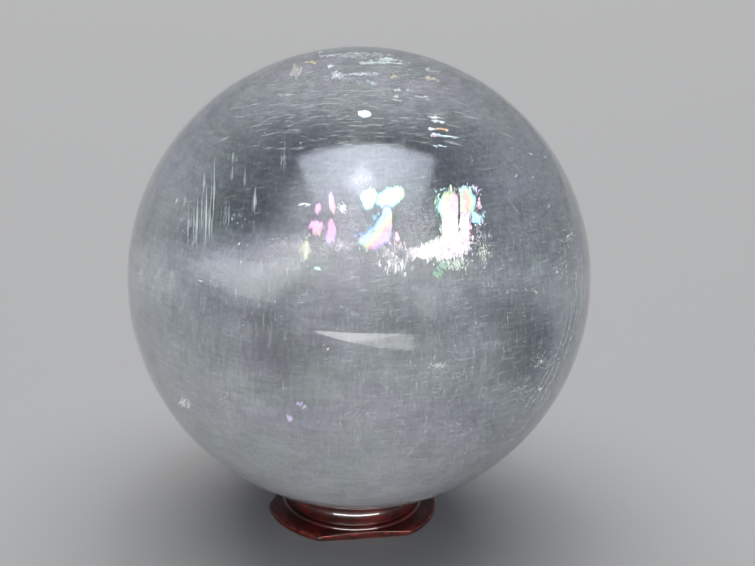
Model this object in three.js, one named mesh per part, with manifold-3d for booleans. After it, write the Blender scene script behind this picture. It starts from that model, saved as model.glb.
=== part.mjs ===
// A polished calcite sphere resting in the dished seat of a small turned wooden ring stand.
// Millimetres, +Z up. The origin is on the table, at the centre of the stand's foot.
import * as THREE from "three";
import { mergeVertices } from "three/addons/utils/BufferGeometryUtils.js";
import Module from "manifold-3d";

// Sphere
const SPHERE_RADIUS = 42;
const SPHERE_SPLITS = 15; // each edge of the starting icosahedron is split into one more piece than this
const SPHERE_HEIGHT = 46.6; // its centre above the table

// Stand: one turned piece of wood, bored through, with a bead for a rim and a flared foot
const BORE_RADIUS = 9.6;
const BORE_CHAMFER = 0.5; // at the bore's lower mouth
const SEAT_GAP = 0.12; // between the sphere and the seat turned to fit it
const SEAT_RADIUS = 11.9; // where the seat meets the bead, from the axis
const BEAD_RADIUS = 11.45; // the bead's middle, from the axis
const BEAD_HEIGHT = 4.1;
const BEAD_HALF_WIDTH = 2.2;
const BEAD_HALF_HEIGHT = 2.15;
const BEAD_FIRST_ANGLE = -68; // degrees above level, where the bead leaves the groove
const GROOVE_RADIUS = 12.15;
const GROOVE_HEIGHT = 1.98;
const STEP_RADIUS = 13.35; // a small quarter round between the groove and the foot
const STEP_ROUND = 0.5;
const STEP_TOP = 1.95;
const FOOT_RADIUS = 16.4;
const FOOT_EDGE_ROUND = 0.45;
const FOOT_EDGE_TOP = 0.95; // the height at which the foot's slope meets its rounded edge
const FLAT_APOTHEM = 13.9; // three flats cut the round foot into three lobes
const FLAT_COUNT = 3;
const FLAT_FIRST_ANGLE = -90; // degrees from +X: the first flat faces -Y
const LATHE_SEGMENTS = 72;

const degrees = THREE.MathUtils.degToRad;
const point = (radius, height) => new THREE.Vector2(radius, height);

// Points along an elliptical arc in the turned profile, in degrees above level.
function arc(radius, height, halfWidth, halfHeight, from, to, steps) {
  return Array.from({ length: steps + 1 }, (_, i) => {
    const angle = degrees(from + ((to - from) * i) / steps);
    return point(
      radius + halfWidth * Math.cos(angle),
      height + halfHeight * Math.sin(angle),
    );
  });
}

// The height of the dished seat at a distance from the axis.
function seatHeight(radius) {
  return SPHERE_HEIGHT - Math.sqrt((SPHERE_RADIUS + SEAT_GAP) ** 2 - radius ** 2);
}

// The stand's section, from the bore's lower mouth out over the foot, up the bead and in along the seat.
function standProfile() {
  const seatSteps = 3;
  const beadEnd = THREE.MathUtils.radToDeg(Math.acos((SEAT_RADIUS - BEAD_RADIUS) / BEAD_HALF_WIDTH));
  const foot = [
    point(BORE_RADIUS + BORE_CHAMFER, 0),
    point(FOOT_RADIUS - FOOT_EDGE_ROUND / 2, 0),
    point(FOOT_RADIUS, FOOT_EDGE_ROUND / 2),
    ...arc(
      FOOT_RADIUS - FOOT_EDGE_ROUND,
      FOOT_EDGE_TOP - FOOT_EDGE_ROUND,
      FOOT_EDGE_ROUND,
      FOOT_EDGE_ROUND,
      0,
      75,
      3,
    ),
  ];
  const step = arc(STEP_RADIUS - STEP_ROUND, STEP_TOP - STEP_ROUND, STEP_ROUND, STEP_ROUND, 0, 90, 4);
  const groove = [point(GROOVE_RADIUS, GROOVE_HEIGHT)];
  const bead = arc(
    BEAD_RADIUS,
    BEAD_HEIGHT,
    BEAD_HALF_WIDTH,
    BEAD_HALF_HEIGHT,
    BEAD_FIRST_ANGLE,
    beadEnd,
    11,
  );
  const seat = Array.from({ length: seatSteps + 1 }, (_, i) => {
    const radius = SEAT_RADIUS + ((BORE_RADIUS - SEAT_RADIUS) * i) / seatSteps;
    return point(radius, seatHeight(radius));
  }).slice(1);
  const bore = [point(BORE_RADIUS, BORE_CHAMFER)];
  const outline = [...foot, ...step, ...groove, ...bead, ...seat, ...bore];
  return [...outline, outline[0].clone()];
}

const wasm = await Module();
wasm.setup();

// A closed geometry as a solid for cutting.
function toSolid(geometry) {
  const bare = geometry.clone();
  bare.deleteAttribute("normal");
  bare.deleteAttribute("uv");
  const merged = mergeVertices(bare, 1e-4);
  return new wasm.Manifold(
    new wasm.Mesh({
      numProp: 3,
      vertProperties: new Float32Array(merged.attributes.position.array),
      triVerts: new Uint32Array(merged.index.array),
    }),
  );
}

// A solid as a geometry, one flat face per triangle.
function toGeometry(solid) {
  const mesh = solid.getMesh();
  const indexed = new THREE.BufferGeometry();
  indexed.setAttribute("position", new THREE.BufferAttribute(mesh.vertProperties, 3));
  indexed.setIndex(new THREE.BufferAttribute(mesh.triVerts, 1));
  const geometry = indexed.toNonIndexed();
  geometry.computeVertexNormals();
  return geometry;
}

// The block of wood beyond one flat of the foot.
function beyondFlat(index) {
  const depth = FOOT_RADIUS;
  const block = new THREE.BoxGeometry(depth, 2 * FOOT_RADIUS, 2 * STEP_TOP);
  block.translate(FLAT_APOTHEM + depth / 2, 0, 0);
  block.rotateZ(degrees(FLAT_FIRST_ANGLE + (360 / FLAT_COUNT) * index));
  return block;
}

// Turned on a lathe, then cut on three sides.
function makeStand() {
  const turned = new THREE.LatheGeometry(standProfile(), LATHE_SEGMENTS);
  turned.rotateX(Math.PI / 2);
  let solid = toSolid(turned);
  for (let i = 0; i < FLAT_COUNT; i++) solid = solid.subtract(toSolid(beyondFlat(i)));
  const wood = new THREE.MeshStandardMaterial({
    color: 0x5a120c,
    roughness: 0.18,
    metalness: 0,
  });
  const mesh = new THREE.Mesh(toGeometry(solid), wood);
  mesh.name = "ring_stand";
  return mesh;
}

// Ground and polished from one cleavable crystal.
function makeSphere() {
  const stone = new THREE.MeshStandardMaterial({
    color: 0xc4c8c6,
    roughness: 0.06,
    metalness: 0,
  });
  const mesh = new THREE.Mesh(new THREE.IcosahedronGeometry(SPHERE_RADIUS, SPHERE_SPLITS), stone);
  mesh.name = "calcite_sphere";
  mesh.position.z = SPHERE_HEIGHT;
  return mesh;
}

const part = new THREE.Group();
part.add(makeSphere(), makeStand());
export default part;
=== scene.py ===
"""A polished calcite sphere on its small lacquered ring stand, on a pale studio floor.

Metres, +Z up. The origin is on the floor, under the centre of the sphere.
"""

import bpy
import numpy as np
from mathutils import Matrix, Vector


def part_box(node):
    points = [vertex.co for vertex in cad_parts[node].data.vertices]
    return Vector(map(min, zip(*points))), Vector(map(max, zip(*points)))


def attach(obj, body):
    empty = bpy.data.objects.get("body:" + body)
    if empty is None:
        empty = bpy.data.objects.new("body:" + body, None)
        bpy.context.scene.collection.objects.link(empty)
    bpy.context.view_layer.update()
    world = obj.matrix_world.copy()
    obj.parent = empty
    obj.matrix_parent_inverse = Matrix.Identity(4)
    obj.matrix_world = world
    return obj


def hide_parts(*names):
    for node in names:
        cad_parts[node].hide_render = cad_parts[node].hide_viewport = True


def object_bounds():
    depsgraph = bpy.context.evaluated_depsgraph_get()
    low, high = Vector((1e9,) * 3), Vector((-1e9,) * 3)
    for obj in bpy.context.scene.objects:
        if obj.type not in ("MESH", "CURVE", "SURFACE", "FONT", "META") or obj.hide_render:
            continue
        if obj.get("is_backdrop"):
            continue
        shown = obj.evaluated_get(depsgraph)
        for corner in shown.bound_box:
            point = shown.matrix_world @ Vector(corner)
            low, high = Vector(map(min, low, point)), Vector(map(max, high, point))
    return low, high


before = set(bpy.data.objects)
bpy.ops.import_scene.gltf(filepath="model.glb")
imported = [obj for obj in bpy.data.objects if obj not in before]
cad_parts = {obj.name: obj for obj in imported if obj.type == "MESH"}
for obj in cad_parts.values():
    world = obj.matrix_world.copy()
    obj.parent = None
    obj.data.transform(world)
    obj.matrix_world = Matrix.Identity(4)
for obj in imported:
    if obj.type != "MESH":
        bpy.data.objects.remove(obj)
cad_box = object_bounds()

# Camera. It looks down on the sphere from a little to the left of the foot's front flat, 20 degrees up, from
# three of the sphere's diameters away, and it is held about 2 degrees off level.
sphere_low, sphere_high = (np.array(corner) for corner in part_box("calcite_sphere"))
sphere_centre = (sphere_low + sphere_high) / 2
sphere_radius = float(sphere_high[2] - sphere_low[2]) / 2

PHOTO_WIDTH, PHOTO_HEIGHT = 755, 566
SPHERE_PIXEL = 359.5, 278.0  # where the sphere's centre falls in the photograph
FOCAL_PIXELS = 1371.0
CAMERA_DISTANCE = 6 * sphere_radius
CAMERA_AZIMUTH, CAMERA_ELEVATION, CAMERA_ROLL = np.radians([-11.0, 20.0, 2.0])
SENSOR_WIDTH = 36.0  # mm
UP = np.array([0.0, 0.0, 1.0])


def looking(ahead, up):
    """The matrix whose columns are right, up and ahead, all square to each other: up loses its part along
    ahead, and right is ahead cross up."""
    square_up = up - up @ ahead * ahead
    square_up /= np.linalg.norm(square_up)
    return np.stack([np.cross(ahead, square_up), square_up, ahead], axis=1)


def turned(azimuth, elevation):
    """The unit vector towards an azimuth and elevation: azimuth 0 is along -Y, and it grows towards +X."""
    flat = np.cos(elevation)
    return np.array([flat * np.sin(azimuth), -flat * np.cos(azimuth), np.sin(elevation)])


camera_back = turned(CAMERA_AZIMUTH, CAMERA_ELEVATION)
camera_place = sphere_centre + CAMERA_DISTANCE * camera_back
seen_at = np.array([SPHERE_PIXEL[0] - PHOTO_WIDTH / 2, PHOTO_HEIGHT / 2 - SPHERE_PIXEL[1], -FOCAL_PIXELS])
seen_at /= np.linalg.norm(seen_at)
in_room = looking(-camera_back, UP)
in_camera = looking(seen_at, np.array([np.sin(CAMERA_ROLL), np.cos(CAMERA_ROLL), 0.0]))
camera_turn = in_room @ in_camera.T

camera_data = bpy.data.cameras.new("camera")
camera_data.sensor_width = SENSOR_WIDTH
camera_data.lens = FOCAL_PIXELS / PHOTO_WIDTH * SENSOR_WIDTH
camera_data.clip_start = 0.01
camera = bpy.data.objects.new("camera", camera_data)
camera.matrix_world = Matrix.Translation(camera_place) @ Matrix(camera_turn.tolist()).to_4x4()
bpy.context.collection.objects.link(camera)
scene = bpy.context.scene
scene.camera = camera


# Ring stand. One piece of close-grained hardwood, turned on a lathe: a fat bead for a rim, a groove, a small
# step and a thin flared foot that three flats cut into lobes. It is dipped in a dark red-brown lacquer.
BORE_RADIUS = 0.0096
BORE_CHAMFER = 0.0005
SEAT_GAP = 0.00012  # between the seat and the sphere
SEAT_RADIUS = 0.0119
BEAD_RADIUS, BEAD_HEIGHT = 0.01145, 0.0041
BEAD_HALF_WIDTH, BEAD_HALF_HEIGHT = 0.0022, 0.00215
BEAD_FIRST_ANGLE = -68.0  # degrees above level, where the bead leaves the groove
GROOVE_RADIUS, GROOVE_HEIGHT = 0.01215, 0.00198
STEP_RADIUS, STEP_TOP, STEP_ROUND = 0.01335, 0.00195, 0.0005
FOOT_RADIUS, FOOT_EDGE_ROUND, FOOT_EDGE_TOP = 0.0164, 0.00045, 0.00095
FLAT_APOTHEM = 0.0139
FLAT_ANGLES = -90.0, 30.0, 150.0
FLAT_SOFTNESS = 0.00012  # how far the lacquer rounds the edges of the flats
STAND_COLUMNS = 720
WOOD_GRAIN = 160, 2400, 1100  # waves to the metre along each axis
LACQUER_WAVES, FLECK_WAVES = 260, 900  # to the metre
DARK_LACQUER, RED_LACQUER, THIN_LACQUER = (
    (0.006, 0.0015, 0.0012, 1), (0.030, 0.003, 0.0022, 1), (0.09, 0.010, 0.006, 1)
)
THIN_HEIGHT = 0.0009  # of the foot's edge, where the lacquer is thin
RING_WAVES, BRUSH_WAVES = 700.0, 420  # to the metre
RING_DEPTH, BRUSH_DEPTH = 0.00003, 0.0002


def arc(centre, half_sizes, first, last, count):
    """Points on an ellipse about a centre, from one angle above level to another, in degrees."""
    angle = np.radians(np.linspace(first, last, count))[:, None]
    return centre + np.array(half_sizes) * np.concatenate([np.cos(angle), np.sin(angle)], axis=1)


def stretch(start, end, count):
    """Points evenly along a straight line, without its last one."""
    return np.array(start) + (np.array(end) - np.array(start)) * np.linspace(0, 1, count + 1)[:-1, None]


def stand_profile():
    """The stand's section as (radius, height), once round: out under the foot, over its edge and slope, up
    the step, groove and bead, in along the dished seat, and down the bore. The seat is an arc about the
    sphere's centre."""
    reach = sphere_radius + SEAT_GAP
    seat_end = np.degrees(np.arccos((SEAT_RADIUS - BEAD_RADIUS) / BEAD_HALF_WIDTH))
    edge = FOOT_RADIUS - FOOT_EDGE_ROUND
    edge_middle = FOOT_EDGE_TOP - FOOT_EDGE_ROUND
    foot = np.concatenate([
        stretch((BORE_RADIUS + BORE_CHAMFER, 0), (edge, 0), 10),
        arc((edge, FOOT_EDGE_ROUND / 2), (FOOT_EDGE_ROUND, FOOT_EDGE_ROUND / 2), -90, 0, 5),
        arc((edge, edge_middle), (FOOT_EDGE_ROUND, FOOT_EDGE_ROUND), 0, 75, 8),
    ])
    step_side = (STEP_RADIUS, STEP_TOP - STEP_ROUND)
    step = arc((STEP_RADIUS - STEP_ROUND, step_side[1]), (STEP_ROUND, STEP_ROUND), 0, 90, 8)
    bead = arc(
        (BEAD_RADIUS, BEAD_HEIGHT), (BEAD_HALF_WIDTH, BEAD_HALF_HEIGHT), BEAD_FIRST_ANGLE, seat_end, 30
    )
    seat_radii = np.linspace(SEAT_RADIUS, BORE_RADIUS, 9)[1:]
    seat = np.stack([seat_radii, sphere_centre[2] - np.sqrt(reach**2 - seat_radii**2)], axis=1)
    return np.concatenate([
        foot,
        stretch(foot[-1], step_side, 12)[1:],
        step,
        [(GROOVE_RADIUS, GROOVE_HEIGHT)],
        bead,
        seat,
        stretch(seat[-1], (BORE_RADIUS, BORE_CHAMFER), 6)[1:],
        [(BORE_RADIUS, BORE_CHAMFER)],
    ])


def flat_reach(angles):
    """How far out the foot may go at each angle: to the nearest flat's straight line, apothem / cos."""
    return FLAT_APOTHEM / np.cos(angles[:, None] - np.radians(FLAT_ANGLES)).max(axis=1)


def stand_surface():
    """The section carried once round the axis, each point's radius held to the flats by a soft minimum:
    (a + b - sqrt((a - b)^2 + softness^2)) / 2."""
    profile = stand_profile()
    angles = np.linspace(-np.pi, np.pi, STAND_COLUMNS, endpoint=False)
    limit = flat_reach(angles)
    radius, height = profile[:, 0, None], profile[:, 1, None]
    held = (radius + limit - np.sqrt((radius - limit) ** 2 + FLAT_SOFTNESS**2)) / 2
    return np.stack([held * np.cos(angles), held * np.sin(angles), height + 0 * held], axis=-1)


def piece_of(name, material, points, *face_arrays, smooth=False):
    """A new piece of one material, from its points and arrays of its faces."""
    mesh = bpy.data.meshes.new(name)
    mesh.from_pydata(points, [], [face for faces in face_arrays for face in faces.tolist()])
    mesh.materials.append(material)
    if smooth:
        mesh.shade_smooth()
    piece = bpy.data.objects.new(name, mesh)
    bpy.context.collection.objects.link(piece)
    return piece


def closed_grid(name, material, rows):
    """A smooth closed piece on a grid of points, rows x columns x 3, that meets itself both ways."""
    high, wide = rows.shape[:2]
    a, b = np.meshgrid(np.arange(high), np.arange(wide), indexing="ij")
    a_next, b_next = (a + 1) % high, (b + 1) % wide
    faces = np.stack([a * wide + b, a * wide + b_next, a_next * wide + b_next, a_next * wide + b], axis=-1)
    return piece_of(name, material, rows.reshape(-1, 3), faces.reshape(-1, 4), smooth=True)


def nodes_of(name):
    """A new material, its node tree and its Principled shader."""
    material = bpy.data.materials.new(name)
    material.use_nodes = True
    return material, material.node_tree, material.node_tree.nodes["Principled BSDF"]


def own_place(tree):
    """The coordinates of a point of the piece, in metres from the origin."""
    return chain(tree, "TexCoord").node.outputs["Object"]


def feed(tree, sockets, values):
    """Links each socket to its value where that is a socket too, and sets it where it is a number or a
    colour."""
    for socket, value in zip(sockets, values):
        if isinstance(value, bpy.types.NodeSocket):
            tree.links.new(value, socket)
        else:
            socket.default_value = value


def feed_named(tree, node, values):
    """Feeds a node's inputs, by their names."""
    feed(tree, [node.inputs[name] for name in values], values.values())


def chain(tree, kind, *inputs, settings=None, **named):
    """A new node's first output. The node gets its settings, then its inputs, in order and by name."""
    node = tree.nodes.new("ShaderNode" + kind)
    for name, value in (settings or {}).items():
        setattr(node, name, value)
    feed(tree, node.inputs, inputs)
    feed_named(tree, node, named)
    return node.outputs[0]


def sums(tree, operation, *inputs):
    """One step of arithmetic."""
    return chain(tree, "Math", *inputs, settings={"operation": operation})


def scaled(tree, value, scale, base):
    """value x scale + base."""
    return sums(tree, "MULTIPLY_ADD", value, scale, base)


def product(tree, first, *others):
    """All the inputs multiplied together."""
    for other in others:
        first = sums(tree, "MULTIPLY", first, other)
    return first


def vectors(tree, operation, *inputs, **named):
    """A sum of vectors. A length, a distance or a dot product comes out as a value."""
    node = chain(tree, "VectorMath", *inputs, settings={"operation": operation}, **named).node
    return node.outputs["Value" if operation in ("LENGTH", "DISTANCE", "DOT_PRODUCT") else "Vector"]


def rising(tree, value, low, high, top=1.0, bottom=0.0):
    """bottom below low, top above high, and eased between them. With low above high it falls."""
    settings = {"interpolation_type": "SMOOTHSTEP"}
    return chain(tree, "MapRange", value, low, high, bottom, top, settings=settings)


def noise(tree, place, scales, detail=2.0):
    """A noise from 0 to 1, with a number of waves to each unit of place: the same all ways, or one for each
    axis."""
    if isinstance(scales, tuple):
        place, scales = vectors(tree, "MULTIPLY", place, scales), 1.0
    return chain(tree, "TexNoise", Vector=place, Scale=scales, Detail=detail)


def mixed(tree, factor, first, second):
    """A colour from first to second, as factor goes from 0 to 1."""
    node = chain(tree, "Mix", factor, settings={"data_type": "RGBA"}).node
    feed(tree, [socket for socket in node.inputs if socket.type == "RGBA"], (first, second))
    return next(socket for socket in node.outputs if socket.type == "RGBA")


def red_brown_lacquer():
    """Brown grain under a deep red-brown lacquer, with the lathe's fine rings in it. Along the foot's edge
    the lacquer is thin and bright, and the coat over it all has the slow waves of a brush."""
    material, tree, shader = nodes_of("red_brown_lacquer")
    place = own_place(tree)
    grain = noise(tree, place, WOOD_GRAIN, 3.0)
    thick = scaled(tree, noise(tree, place, LACQUER_WAVES), 0.7, sums(tree, "MULTIPLY", grain, 0.5))
    colour = mixed(tree, rising(tree, thick, 0.40, 0.80), DARK_LACQUER, RED_LACQUER)
    height = chain(tree, "SeparateXYZ", place).node.outputs["Z"]
    off_edge = sums(tree, "ABSOLUTE", sums(tree, "SUBTRACT", height, THIN_HEIGHT))
    flecked = rising(tree, noise(tree, place, FLECK_WAVES), 0.46, 0.62)
    thin = product(tree, rising(tree, off_edge, 0.00030, 0.00005), flecked)
    settings = {"wave_type": "RINGS", "rings_direction": "Z"}
    rings = chain(tree, "TexWave", place, RING_WAVES, 1.0, settings=settings)
    waves = noise(tree, place, BRUSH_WAVES)
    feed_named(tree, shader, {
        "Base Color": mixed(tree, thin, colour, THIN_LACQUER),
        "Roughness": scaled(tree, grain, 0.20, 0.22),
        "Normal": chain(tree, "Bump", Strength=0.12, Distance=RING_DEPTH, Height=rings),
        "Coat Normal": chain(tree, "Bump", Strength=0.25, Distance=BRUSH_DEPTH, Height=waves),
        "Coat Weight": 1.0,
        "Coat Roughness": 0.05,
        "Coat IOR": 1.35,
        "Specular IOR Level": 0.25,
    })
    return material


stand = closed_grid("ring_stand_turned", red_brown_lacquer(), stand_surface())
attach(stand, "root")
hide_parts("ring_stand")


# Sphere. One crystal of milky, cleavable calcite, ground round and polished to a glassy skin. The skin itself
# is clear: what shows in it is the haze, the grain and the cracks further in. It rests loose in the stand's
# dished seat.
SPHERE_ROWS, SPHERE_COLUMNS = 180, 360
STONE_INDEX = 1.6
GRAIN_CONTRAST = 0.32
THREADS = (1900, 1900, 220), (220, 220, 1900)  # waves to the metre along each axis: the upright and the level
TINT_WAVES, MOTTLE_WAVES, POLISH_WAVES = 90, (170, 170, 230), 45  # to the metre
GREENISH, VIOLET = (0.90, 0.97, 0.90, 1), (0.95, 0.93, 1.0, 1)
ABSORBED_COLOUR, ABSORBED_DENSITY = (0.59, 0.615, 0.665, 1), 80.0  # the density is per metre


def new_group(name, inputs, output):
    """A new node group. inputs and output name each socket and its kind. Returns the group, the sockets that
    bring its inputs in, and the one that takes its output."""
    group = bpy.data.node_groups.new(name, "ShaderNodeTree")
    for socket, kind in inputs:
        group.interface.new_socket(socket, in_out="INPUT", socket_type="NodeSocket" + kind)
    group.interface.new_socket(output[0], in_out="OUTPUT", socket_type="NodeSocket" + output[1])
    given, out = group.nodes.new("NodeGroupInput"), group.nodes.new("NodeGroupOutput")
    return group, [given.outputs[socket] for socket, _ in inputs], out.inputs[output[0]]


def weave():
    """A node group: the stone's grain at a place, from 0 to 1: half of it upright threads, half level
    ones."""
    group, (place,), out = new_group("weave", [("Place", "Vector")], ("Grain", "Float"))
    upright, level = (rising(group, noise(group, place, scales), 0.36, 0.64, 0.5) for scales in THREADS)
    group.links.new(sums(group, "ADD", upright, level), out)
    return group


def closed_ball(name, material, radius):
    """A sphere about the stone's centre: (sin down cos around, sin down sin around, cos down) x radius, on
    a grid of latitudes by longitudes, with one point for each pole and a fan of triangles around it."""
    down = np.linspace(0, np.pi, SPHERE_ROWS + 1)[1:-1, None]
    around = np.linspace(0, 2 * np.pi, SPHERE_COLUMNS, endpoint=False)[None, :]
    level = np.cos(down) + 0 * around
    grid = np.stack([np.sin(down) * np.cos(around), np.sin(down) * np.sin(around), level], axis=-1)
    poles = [[0, 0, 1], [0, 0, -1]]
    points = np.concatenate([grid.reshape(-1, 3), poles]) * radius + sphere_centre
    row, ring = np.meshgrid(np.arange(SPHERE_ROWS - 2), np.arange(SPHERE_COLUMNS), indexing="ij")
    after = (ring + 1) % SPHERE_COLUMNS
    here, below = row * SPHERE_COLUMNS, (row + 1) * SPHERE_COLUMNS
    bands = np.stack([here + ring, below + ring, below + after, here + after], axis=-1).reshape(-1, 4)
    ring, after = ring[0], after[0]
    last = (SPHERE_ROWS - 2) * SPHERE_COLUMNS
    north, south = len(points) - 2 + 0 * ring, len(points) - 1 + 0 * ring
    top = np.stack([north, ring, after], axis=1)
    bottom = np.stack([south, last + after, last + ring], axis=1)
    return piece_of(name, material, points, bands, top, bottom, smooth=True)


def polished_calcite():
    """Clear stone that drifts between greenish and violet grey, a little darker between the threads of its
    grain, and with the slight unevenness of a hand polish. Lamps reach what is inside it without being
    bent."""
    material, tree, shader = nodes_of("polished_calcite")
    place = own_place(tree)
    woven = chain(tree, "Group", place, settings={"node_tree": weave()})
    drift = rising(tree, noise(tree, place, TINT_WAVES, 3.0), 0.35, 0.65)
    mottled = rising(tree, noise(tree, place, MOTTLE_WAVES, 4.0), 0.35, 0.65, 0.12)
    grain = scaled(tree, woven, GRAIN_CONTRAST, 0.94 - GRAIN_CONTRAST)
    light = sums(tree, "ADD", grain, mottled)
    feed_named(tree, shader, {
        "Base Color": vectors(tree, "SCALE", mixed(tree, drift, GREENISH, VIOLET), Scale=light),
        "Roughness": scaled(tree, noise(tree, place, POLISH_WAVES, 3.0), 0.05, 0.005),
        "Transmission Weight": 1.0,
        "IOR": STONE_INDEX,
    })
    clear = chain(tree, "BsdfTransparent")
    in_shadow = chain(tree, "LightPath").node.outputs["Is Shadow Ray"]
    feed_named(tree, tree.nodes["Material Output"], {
        "Surface": chain(tree, "MixShader", in_shadow, shader.outputs["BSDF"], clear),
        "Volume": chain(tree, "VolumeAbsorption", Color=ABSORBED_COLOUR, Density=ABSORBED_DENSITY),
    })
    return material


sphere = closed_ball("calcite_sphere_polished", polished_calcite(), sphere_radius)
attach(sphere, "root")
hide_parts("calcite_sphere")


# Haze. Fine fluid-filled cracks make most of the crystal milky: a bright tilted cloud across the middle,
# thick milk below it, and clearer windows above.
HAZE_SHARE = 0.995  # of the sphere's radius
HAZE_DENSITY = 140.0  # per metre, where the milk is 1
HAZE_COLOUR = 0.96, 0.985, 0.97, 1
STREAK_WAVES = 420, 420, 160  # to the metre
CLOUD_WAVES, PATCH_WAVES = 2.2, (6.0, 6.0, 9.0)  # to the radius
CLEAR_FACE = turned(np.radians(-11.0), np.radians(20.0))  # the way that the stone's clearest face looks
CLOUD_UP = turned(np.radians(174.0), np.radians(64.0))  # square to the plane that the cloud lies along
CLOUD_LIFT = -0.03  # of the radius
CLOUD_HALF_THICKNESS = 0.17
GLOW_PIXEL, GLOW_RADIUS = (362.0, 232.0), 0.38
SPOT_DEPTH = 0.010
TRACE_MILK, LOW_MILK, CLOUD_MILK, CAP_MILK, GLOW_MILK = 0.075, 0.55, 3.0, 1.20, 1.60
SIDE_MILK, BACK_MILK = 0.36, 0.50

# Where each part of the milk begins and where all of it is there, in radii from the centre.
LOW_DEPTH, LOW_RIGHT = (0.05, -0.40), (0.60, 0.05)
CLOUD_RIGHT, CLOUD_LEFT = (0.45, -0.35), (-0.90, -0.35)
CAP_HEIGHT = 0.70, 0.97
UNDER_SKIN = 0.80, 1.0
SIDE_TURN, BACK_TURN, LEFT_TURN = (0.78, 0.35), (0.10, -0.60), (0.3, -0.5)
CLEAR_SKIN = 1.0, 0.93
MILK_SPOTS = (  # x and y in pixels, reach as a share of the radius, and the milk added or taken away there
    (182, 203, 0.24, 0.34), (205, 152, 0.3, 0.18), (252, 126, 0.22, 0.12), (505, 205, 0.34, 0.22),
    (512, 150, 0.32, 0.22), (241, 326, 0.12, 0.22), (234, 397, 0.14, 0.3), (180, 398, 0.1, 0.3),
    (441, 365, 0.1, 0.2), (354, 415, 0.22, 0.12), (365, 488, 0.4, 0.45), (348, 276, 0.1, 0.2),
    (415, 218, 0.15, 0.5), (285, 356, 0.24, -0.6), (215, 358, 0.2, -0.2), (527, 350, 0.24, -0.4),
    (400, 293, 0.16, -0.6), (462, 276, 0.17, -1), (331, 447, 0.14, -0.2), (455, 407, 0.16, -0.2),
    (226, 284, 0.18, -0.6), (190, 260, 0.16, -1), (264, 291, 0.17, -1.1), (470, 322, 0.12, 0.12),
)


def seen_inside(x, y, depth):
    """Where in the stone something a depth behind the skin shows at pixels x, y. The camera's ray meets the
    ball where its distance from the centre is the radius, and is bent there: the sine of its angle to the
    skin's normal is divided by the stone's index."""
    x, y, depth = np.broadcast_arrays(*(np.asarray(value, float) for value in (x, y, depth)))
    ahead = np.full(x.shape, -FOCAL_PIXELS)
    rays = np.stack([x - PHOTO_WIDTH / 2, PHOTO_HEIGHT / 2 - y, ahead], axis=-1) @ camera_turn.T
    rays /= np.linalg.norm(rays, axis=-1, keepdims=True)
    start = camera_place - sphere_centre
    nearest = -(rays @ start)
    reach = nearest - np.sqrt(np.maximum(nearest**2 - start @ start + sphere_radius**2, 0))
    skin = start + reach[..., None] * rays
    normal = skin / sphere_radius
    facing = -(rays * normal).sum(axis=-1, keepdims=True)
    inward = np.sqrt(1 - (1 - facing**2) / STONE_INDEX**2)
    bent = rays / STONE_INDEX + (facing / STONE_INDEX - inward) * normal
    return sphere_centre + skin + depth[..., None] * bent


def spot_place(x, y):
    """A spot in the stone, in radii from its centre."""
    return (seen_inside(x, y, SPOT_DEPTH) - sphere_centre) / sphere_radius


def milk(tree, place):
    """How milky the stone is at a place: up to about 3 in its cloud, and clear at 0 and below. It is the sum
    of a trace everywhere, of milk that thickens below a tilted plane, of a cloud along that plane, thickest
    left of the middle and broken up by a noise, of a cap under the top, of a veil under the skin away from
    the front, of a glow around the flashes, and of small soft spots, some of them clearer than the rest."""
    share = vectors(tree, "SCALE", vectors(tree, "SUBTRACT", place, sphere_centre), Scale=1 / sphere_radius)
    x = chain(tree, "SeparateXYZ", share)
    away = vectors(tree, "LENGTH", share)
    deep = rising(tree, away, *CLEAR_SKIN)
    over_cloud, to_front = (vectors(tree, "DOT_PRODUCT", share, way) for way in (CLOUD_UP, CLEAR_FACE))
    cloudy, patchy = noise(tree, share, CLOUD_WAVES, 3.0), noise(tree, share, PATCH_WAVES)
    height = sums(tree, "ADD", over_cloud, scaled(tree, cloudy, 0.5, -0.25 - CLOUD_LIFT))
    low = product(
        tree, rising(tree, height, *LOW_DEPTH), sums(tree, "ADD", patchy, 0.1),
        rising(tree, x, *LOW_RIGHT, 1.20 * LOW_MILK, 0.25 * LOW_MILK),
    )
    cloud = product(
        tree, rising(tree, sums(tree, "ABSOLUTE", height), CLOUD_HALF_THICKNESS, 0.0, CLOUD_MILK), deep,
        rising(tree, cloudy, 0.35, 0.65, 1.35, 0.35), rising(tree, x, *CLOUD_RIGHT, 1.0, 0.06),
        rising(tree, x, *CLOUD_LEFT, 1.0, 0.15),
    )
    cap = rising(tree, x.node.outputs["Z"], *CAP_HEIGHT, CAP_MILK)
    turns = ((SIDE_TURN, SIDE_MILK), (BACK_TURN, BACK_MILK))
    veil = sums(tree, "ADD", *(rising(tree, to_front, *turn, amount) for turn, amount in turns))
    side = product(tree, rising(tree, away, *UNDER_SKIN), veil, rising(tree, x, *LEFT_TURN, 1.3, 0.8))

    def spot(x, y, reach, amount):
        """Milk round a place, all of it there and none beyond its reach."""
        return rising(tree, vectors(tree, "DISTANCE", share, spot_place(x, y)), reach, 0.0, amount)

    glow = product(tree, spot(*GLOW_PIXEL, GLOW_RADIUS, GLOW_MILK), deep)
    total = TRACE_MILK
    for part in (low, cloud, cap, side, glow, *(spot(*row) for row in MILK_SPOTS)):
        total = sums(tree, "ADD", total, part)
    return total


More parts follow.
